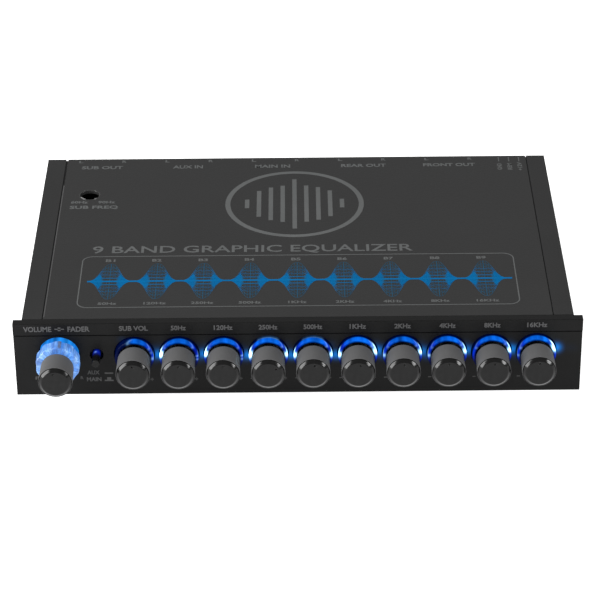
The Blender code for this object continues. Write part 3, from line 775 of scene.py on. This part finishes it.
# Brightness of each collar, of the line on its crest, and its lamps as
# (degrees clockwise from upright, brightness, spread in degrees).
COLLARS = {
    "volume": (1.0, 0.0, [(-56, 0.35, 7)]),
    "sub": (0.9, 0.0, [(-17, 0.2, 5), (52, 0.2, 4), (66, 0.2, 4), (88, 0.24, 5)]),
    "band_1": (0.9, 0.0, [(-73, 1.0, 9), (-48, 0.15, 4), (46, 0.17, 4), (80, 0.22, 3), (92, 0.2, 3)]),
    "band_2": (1.0, 0.0, [(-72, 0.95, 8), (-48, 0.15, 4), (50, 0.16, 4), (80, 0.25, 3), (92, 0.2, 4)]),
    "band_3": (1.3, 0.13, [(-77, 1.0, 10), (46, 0.17, 4), (76, 0.7, 8)]),
    "band_4": (1.1, 0.1, [(-80, 0.75, 8), (46, 0.2, 4), (78, 0.65, 8)]),
    "band_5": (1.35, 0.0, [(-80, 0.75, 8), (46, 0.22, 4), (67, 1.0, 9)]),
    "band_6": (0.95, 0.0, [(-84, 0.35, 6), (-52, 0.18, 4), (46, 0.18, 4), (70, 0.85, 8)]),
    "band_7": (1.0, 0.0, [(-86, 0.35, 5), (-55, 0.18, 4), (46, 0.18, 4), (68, 0.9, 8)]),
    "band_8": (1.05, 0.0, [(-58, 0.18, 4), (42, 0.16, 4), (66, 1.0, 7.5)]),
    "band_9": (1.05, 0.0, [(-88, 0.2, 4), (-60, 0.2, 5), (62, 1.1, 9)]),
}
LAMP_LEAN = 8.0
LAMP_DEPTH = 2.2
SPILL_RADIUS = 6.4
SPILL_TURN = 17
SPILL_SPREAD = 1.45


def collar_glow(point, name):
    """Light colour of a collar at a point in millimetres from its centre."""
    level, crest, lamps = COLLARS[name]
    angle = math.atan2(point.x, point.z)
    radius = math.hypot(point.x, point.z)
    height = math.cos(angle)
    depth = -point.y
    seed = 1.7 * list(COLLARS).index(name)
    patches = 1 + 0.8 * noise.noise(Vector((angle * 3.4, seed, 0.0)))
    if name == "volume":
        colour = AZURE * patches * rise(height, -0.5, 0.4)
    else:
        colour = mix(BLUE_SIDE, BLUE_TOP * patches * level, rise(height, 0.6, 0.95))
        colour = mix(NAVY, colour, rise(height, -0.6, 0.0))
        root = 0.3 + 1.5 * (1 - height)
        colour = mix(NAVY, colour, rise(depth, root, root + 0.8) * rise(radius, 5.2, 5.9))
    if name == "sub":
        colour = mix(colour, NAVY, rise(-angle, -0.05, 0.5))
    if radius > 5.9:
        line = rise(depth, 0.0, 0.3) * (1 - rise(depth, 0.6, 0.9))
        colour = colour + (LAMP_WHITE + LAMP_BLUE) * crest * line * rise(height, 0.78, 0.9)
    for at, strength, spread in lamps:
        towards = at + math.copysign(LAMP_LEAN, at) * (depth - LAMP_DEPTH)
        offset = (math.degrees(angle) - towards) / spread
        reach = rise(depth, 0.5, 1.8) * rise(radius, 5.0, 5.7)
        colour = colour + LAMP_BLUE * strength * math.exp(-(offset / 1.8) ** 2) * 0.35 * reach
        colour = colour + LAMP_WHITE * 6.0 * strength ** 2 * reach * math.exp(-offset ** 2)
    return colour


def paint_glow(obj, colour_at):
    """Store colour_at(point in millimetres from the object's origin) as the glow attribute."""
    attribute = obj.data.attributes.new("glow", "FLOAT_COLOR", "POINT")
    for i, vert in enumerate(obj.data.vertices):
        attribute.data[i].color = (*colour_at(vert.co / MM), 1.0)


def build_light_guide():
    """Backing plate and eleven collars, brightest beside their lamps."""
    bm = bmesh.new()
    depth = (1.9, 3.1)
    block(bm, (guide_low.x, guide_high.x), depth, (guide_low.z, guide_high.z))
    guide = add_piece("light_guide_plate", bm, [COLLAR], "case", ["light_guide"])
    holes = bmesh.new()
    for x in [VOLUME_X] + KNOB_XS:
        rod(holes, -6, 6, 5.2, 72, (x, AXIS_Z))
    cut(guide, holes)
    hole = bmesh.new()
    rod(hole, -6, 6, 2.5, 48, (BUTTON_X, AXIS_Z))
    cut(guide, hole)
    paint_glow(guide, lambda p: NAVY * 0.3)
    front = guide_low.y
    wall = [(-0.1 - 0.25 * i, 6.1) for i in range(int((-front - 0.5) / 0.25) + 1)]
    points = [(3.05, 5.1), (3.05, 6.1)] + wall + [(front, 6.1), (front, 5.6), (front, 5.1)]
    profile = fillet(points, [0.1, 0.1] + [0] * len(wall) + [0.3, 0, 0.15], 4, True)
    for name, x in zip(COLLARS, [VOLUME_X] + KNOB_XS):
        bm = bmesh.new()
        lathe(bm, profile, 180, closed=True)
        centre = (x, 0, AXIS_Z)
        collar = add_piece("collar_" + name, bm, [COLLAR], "case", centre=centre)
        paint_glow(collar, lambda p: collar_glow(p, name))
        weighted(collar)


def build_fader_ring():
    """Fluted clear ring, lit from behind, with its pointer rib."""
    front, rear = fader_low.y, fader_high.y
    bore = 3.3
    outer = 7.0
    points = [(rear, bore), (rear, outer), (front, outer - 0.1), (front, bore)]
    profile = fillet(points, [0.1, 0.3, 0.6, 0.3], 5, True)
    flutes = 10

    def flute(angle, y, radius):
        if radius < outer - 1.5:
            return radius
        return radius - 0.28 * (1 - math.cos(angle * flutes)) / 2

    bm = bmesh.new()
    lathe(bm, profile, 240, closed=True, warp=flute)
    centre = (VOLUME_X, 0, AXIS_Z)
    body = "fader_control"
    ring = add_piece("fader_ring_clear", bm, [FADER], body, ["fader_ring"], centre)

    def glow(p):
        angle = math.atan2(p.x, p.z)
        height = math.cos(angle)
        pale = Vector((0.17, 0.34, 0.68))
        azure = Vector((0.012, 0.17, 0.68))
        grip = noise.noise(Vector((p.x * 0.75, p.y * 0.75, p.z * 0.75 + 3.0)))
        fine = noise.noise(Vector((p.x * 2.6, p.y * 1.2, p.z * 2.6)))
        sideways = abs(math.sin(angle)) * 0.5
        colour = mix(azure, pale, -0.08 + sideways + 1.3 * grip + 0.6 * fine)
        return mix(NAVY, colour * (0.95 + 0.7 * fine), (height + 1.15) / 0.8)

    paint_glow(ring, glow)
    weighted(ring)
    rib = bmesh.new()
    block(rib, (-0.5, 0.5), (front + 0.4, rear - 0.1), (6.6, 7.03))
    turn = math.radians(7)
    pointer = add_piece("fader_pointer", rib, [FADER], body, centre=centre, turn=turn)
    paint_glow(pointer, lambda p: Vector((0.04, 0.04, 0.10)))
    bevel(pointer, 0.1, 2)


def build_button():
    """Smoked push rod, lit where it leaves the fascia."""
    front, rear = button_low.y, button_high.y
    radius = 1.28
    points = [(front - 0.03, 0), (front, radius), (rear, radius), (rear, 0)]
    profile = fillet(points, [0, 0.28, 0.1, 0], 5)
    rows = []
    for first, second in zip(profile, profile[1:]):
        rows.append(first)
        pieces = int(abs(second[0] - first[0]) / 0.4)
        rows += [tuple(Vector(first).lerp(Vector(second), k / pieces)) for k in range(1, pieces)]
    rows.append(profile[-1])
    bm = bmesh.new()
    lathe(bm, rows, 48)
    centre = (BUTTON_X, 0, AXIS_Z)
    button = add_piece("source_button_rod", bm, [BUTTON], "source_control", ["source_button"],
                       centre)

    def glow(p):
        near = math.exp(-((p.y + 0.1) / 1.1) ** 2)
        up = max(0.0, p.z / radius)
        core = math.exp(-((p.y + 0.3) / 0.4) ** 2 - ((p.x + 0.3) / 0.35) ** 2)
        return BLUE_SIDE * 0.9 * near * up + LAMP_WHITE * 0.5 * core * up

    paint_glow(button, glow)
    weighted(button)


# ---------------------------------------------------------------- knobs

RIM = 0.11
KNOB_REAR = -3.7


def knob_mesh(name, front, rear, body, replaced, x, turn, stem):
    """Soft-touch barrel with a thin rim around the insert's seat."""
    radius = 5.3
    seat = front + 1.2
    points = [(seat, 0), (seat, radius - RIM), (front, radius - RIM), (front, radius)]
    points += [(rear, 5.12), (rear, 2.0), (stem, 2.0), (stem, 0)]
    profile = fillet(points, [0, 0.1, 0.07, 0.1, 0.45, 0.2, 0.2, 0], 5)
    bm = bmesh.new()
    lathe(bm, profile, 96)
    knob = add_piece(name, bm, [KNOB], body, replaced, (x, 0, AXIS_Z), turn)
    return weighted(knob)


def cap_mesh(name, front, body, replaced, x, turn):
    """Polished insert: broad bevel, faintly domed face and a pointer dimple."""
    seat = front + 1.12
    face = front - 0.9
    points = [(face - 0.04, 0), (face - 0.02, 2.2), (face, 4.15)]
    points += [(front - 0.05, 5.08), (seat, 5.08), (seat, 0)]
    profile = fillet(points, [0, 1.0, 0.22, 0.2, 0.05, 0], 6)
    bm = bmesh.new()
    lathe(bm, profile, 96)
    cap = add_piece(name, bm, [CAP], body, replaced, (x, 0, AXIS_Z), turn)
    dimple = bmesh.new()
    bmesh.ops.create_uvsphere(dimple, u_segments=20, v_segments=12, radius=0.34)
    spot = Matrix.Rotation(turn, 3, "Y") @ Vector((0, face, 3.35))
    cutter_centre = (x + spot.x, spot.y, AXIS_Z + spot.z)
    cut(cap, dimple, cutter_centre)
    return weighted(cap)


def build_knobs():
    for name, x, degrees in zip(KNOB_NAMES, KNOB_XS, POINTER_DEGREES):
        turn = math.radians(degrees)
        body = name + "_control"
        low, high = in_mm(name + "_knob")
        knob_mesh(name + "_barrel", low.y, KNOB_REAR, body, [name + "_knob"], x, turn, high.y)
        cap_mesh(name + "_insert", low.y, body, [name + "_cap"], x, turn)
    body = "volume_control"
    front, rear = volume_low.y, volume_high.y
    knob_mesh("volume_barrel", front, rear, body, ["volume_knob"], VOLUME_X, 0.0, rear - 3.0)
    cap_mesh("volume_insert", volume_low.y, body, ["volume_cap"], VOLUME_X, math.radians(-8))


# ---------------------------------------------------------------- rear

def build_sockets():
    """Phono sockets: nickel shells around white and red insulators in a black block."""
    for i in range(1, 6):
        node = "line_socket_%d" % i
        low, high = in_mm(node)
        middle = (low.x + high.x) / 2
        back = 109.8
        height = 13.8
        bm = bmesh.new()
        block(bm, (low.x, high.x), (low.y, back), (low.z, high.z), 0)
        for side in (-1, 1):
            centre = (middle + side * 7.5, height)
            colour = 2 if side < 0 else 3
            flange = [(back - 0.5, 0), (back - 0.5, 4.3), (back + 1.8, 4.3), (back + 1.8, 0)]
            lathe(bm, fillet(flange, [0, 0, 0.3, 0]), 64, centre, slot=colour)
            shell = [(back + 1.0, 3.3), (back + 1.0, 4.12), (high.y, 4.12), (high.y, 3.5)]
            lathe(bm, fillet(shell, [0, 0, 0.3, 0.15], 4, True), 64, centre, closed=True, slot=1)
            core = [(back + 1.0, 0), (back + 1.0, 3.4), (high.y - 0.5, 3.4), (high.y - 0.5, 1.7)]
            core += [(high.y - 7.5, 1.7), (high.y - 7.5, 0)]
            lathe(bm, fillet(core, [0, 0, 0.2, 0.25, 0.1, 0]), 48, centre, slot=colour)
        finishes = [SOCKET, NICKEL, WHITE, RED]
        socket = add_piece(node + "_phono", bm, finishes, "case", [node])
        weighted(socket)


def build_terminal():
    """Green three-way block with wire entries and screw wells in its rear face."""
    low, high = in_mm("power_terminal")
    bm = bmesh.new()
    block(bm, (low.x, high.x), (low.y, high.y), (low.z, high.z))
    terminal = add_piece("power_terminal_block", bm, [GREEN], "case", ["power_terminal"])
    wells = bmesh.new()
    ways = [(low.x + high.x) / 2 + 3.5 * i for i in (-1, 0, 1)]
    for x in ways:
        block(wells, (x - 1.2, x + 1.2), (high.y - 5, high.y + 1), (10.6, 13.4))
    cut(terminal, wells)
    wells = bmesh.new()
    for x in ways:
        rod(wells, high.y - 1.6, high.y + 1, 1.3, 32, (x, 15.9))
    cut(terminal, wells)
    bevel(terminal, 0.15, 2, 50)
    screws = bmesh.new()
    for x in ways:
        rod(screws, high.y - 2.4, high.y - 1.0, 1.15, 32, (x, 15.9))
    heads = add_piece("terminal_screws", screws, [STEEL], "case")
    slots = bmesh.new()
    for x in ways:
        block(slots, (x - 1.4, x + 1.4), (high.y - 1.4, high.y), (15.75, 16.05))
    cut(heads, slots)
    bevel(heads, 0.06, 2, 50)


# ---------------------------------------------------------------- setting

def build_floor():
    bm = bmesh.new()
    bmesh.ops.create_grid(bm, x_segments=1, y_segments=1, size=3.0)
    mesh = bpy.data.meshes.new("floor")
    bm.to_mesh(mesh)
    bm.free()
    floor = bpy.data.objects.new("floor", mesh)
    bpy.context.scene.collection.objects.link(floor)
    material, tree, shader = new_material("floor_white")
    shader.inputs["Base Color"].default_value = (0.5, 0.5, 0.5, 1)
    shader.inputs["Roughness"].default_value = 0.9
    shader.inputs["Emission Color"].default_value = (1, 1, 1, 1)
    shader.inputs["Emission Strength"].default_value = 0.9
    mesh.materials.append(material)
    floor.location.z = cad_low.z - 0.00002


def softbox(name, direction, distance, width, height, power):
    light = bpy.data.lights.new(name, "AREA")
    light.shape = "RECTANGLE"
    light.size = width
    light.size_y = height
    light.energy = power
    obj = bpy.data.objects.new(name, light)
    bpy.context.scene.collection.objects.link(obj)
    aim = place(0, 0, AXIS_Z)
    towards = Vector(direction).normalized()
    obj.location = aim + towards * distance
    obj.rotation_euler = towards.to_track_quat("Z", "Y").to_euler()


def build_lights():
    world = bpy.data.worlds.new("studio")
    world.use_nodes = True
    world.node_tree.nodes["Background"].inputs["Color"].default_value = (1, 1, 1, 1)
    world.node_tree.nodes["Background"].inputs["Strength"].default_value = 0.55
    bpy.context.scene.world = world
    softbox("softbox_left", (-0.85, -0.36, 0.38), 0.9, 0.42, 0.8, 17.3)
    softbox("softbox_right", (0.84, -0.37, 0.40), 0.9, 0.24, 0.34, 5.6)


def build_camera():
    camera = bpy.data.cameras.new("camera")
    camera.sensor_width = 36.0
    camera.lens = 156.2
    camera.clip_start = 0.01
    obj = bpy.data.objects.new("camera", camera)
    bpy.context.scene.collection.objects.link(obj)
    pitch, roll, yaw = math.radians(-30.375), math.radians(0.469), math.radians(-0.09)
    turn = Matrix.Rotation(yaw, 3, "Z") @ Matrix.Rotation(pitch, 3, "X") @ Matrix.Rotation(roll, 3, "Y")
    obj.rotation_euler = (turn @ Matrix.Rotation(math.pi / 2, 3, "X")).to_euler()
    obj.location = place(-0.35, -696.5, 442.1)
    bpy.context.scene.camera = obj


build_fascia()
build_cover()
finish_cad_nodes()
build_light_guide()
build_fader_ring()
build_button()
build_knobs()
build_sockets()
build_terminal()
white_print = print_titles()
print_emblem(white_print)
print_frame(white_print)
add_piece("cover_print_white", white_print, [TOP_INK], "case")
curves = add_piece("cover_print_blue", print_lobes(), [BLUE_INK], "case")
paint_glow(curves, lobe_strength)
add_piece("fascia_print", print_fascia(), [INK], "case")
build_floor()
build_lights()
build_camera()
bpy.context.scene.view_settings.view_transform = "Standard"
